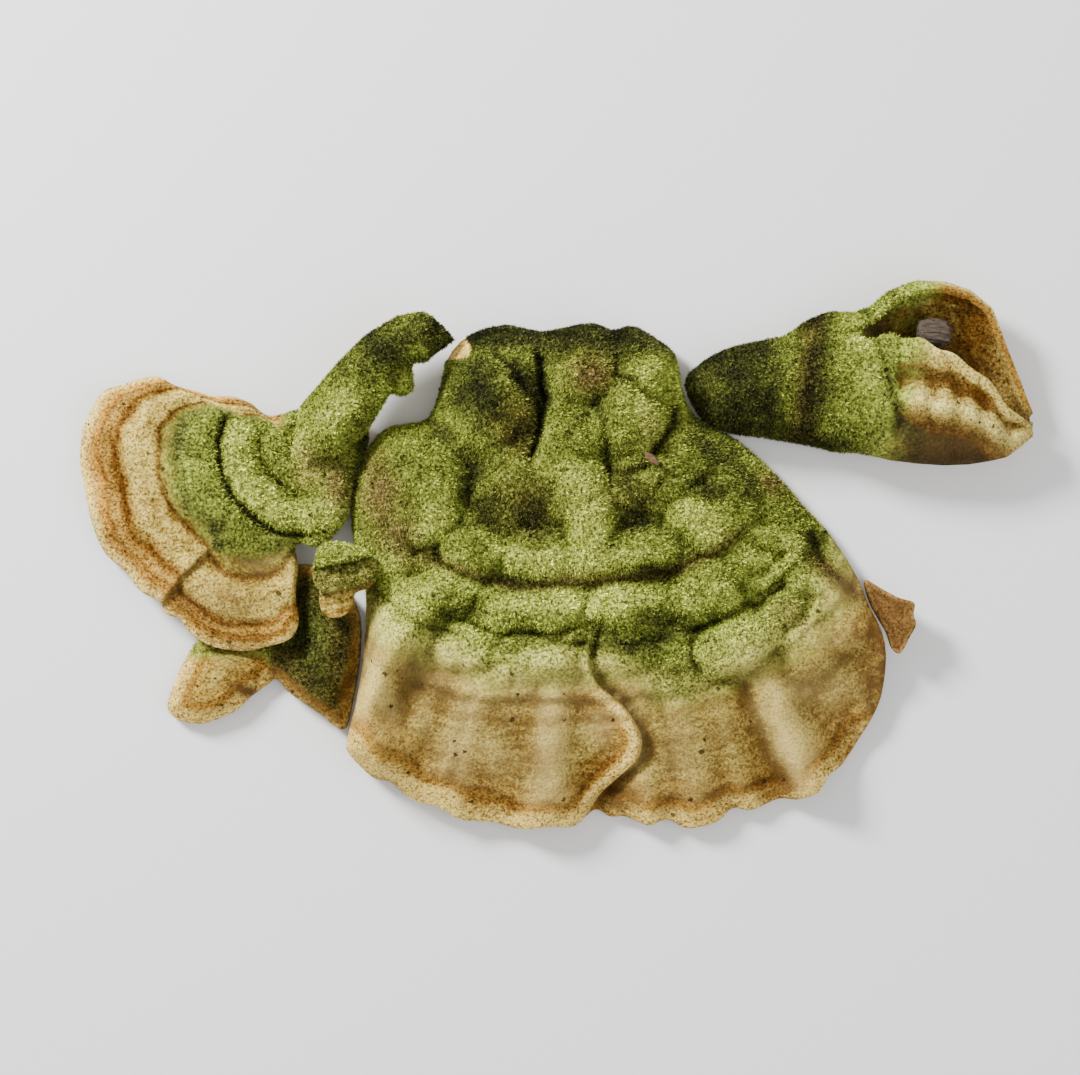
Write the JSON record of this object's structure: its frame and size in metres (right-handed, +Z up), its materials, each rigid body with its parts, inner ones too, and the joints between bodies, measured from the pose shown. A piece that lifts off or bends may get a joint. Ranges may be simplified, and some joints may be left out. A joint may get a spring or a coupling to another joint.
{
  "type": "turkey tail fungus cluster",
  "caption": "Cluster of turkey tail bracket fungus: zoned fans green with algae, with cream and tan wavy margins, cut off flat at the base.",
  "frame": {"origin": "middle of the flat face where the cluster is cut off the log, under the base", "axes": "+Z up, away from the cut face; the main fan grows out towards -Y; +X towards the rolled fan on its right"},
  "size_m": [0.203, 0.1167, 0.0244],
  "materials": {
    "green_velvet": "velvety, lumpy upper surface, green with algae in zones",
    "zoned_flesh": "finely velvety, cream and tan zones with a pale margin",
    "brown_flesh": "dry, dull, curled",
    "bark": "dry, weathered and splintery"
  },
  "bodies": {
    "root": {"main_fan": "green_velvet", "left_fan": "zoned_flesh", "right_fan": "green_velvet", "lower_left_fan": "zoned_flesh", "lower_right_fan": "brown_flesh", "young_fan": "zoned_flesh", "bark_chip": "bark", "husk": "bark"}
  },
  "joints": []
}
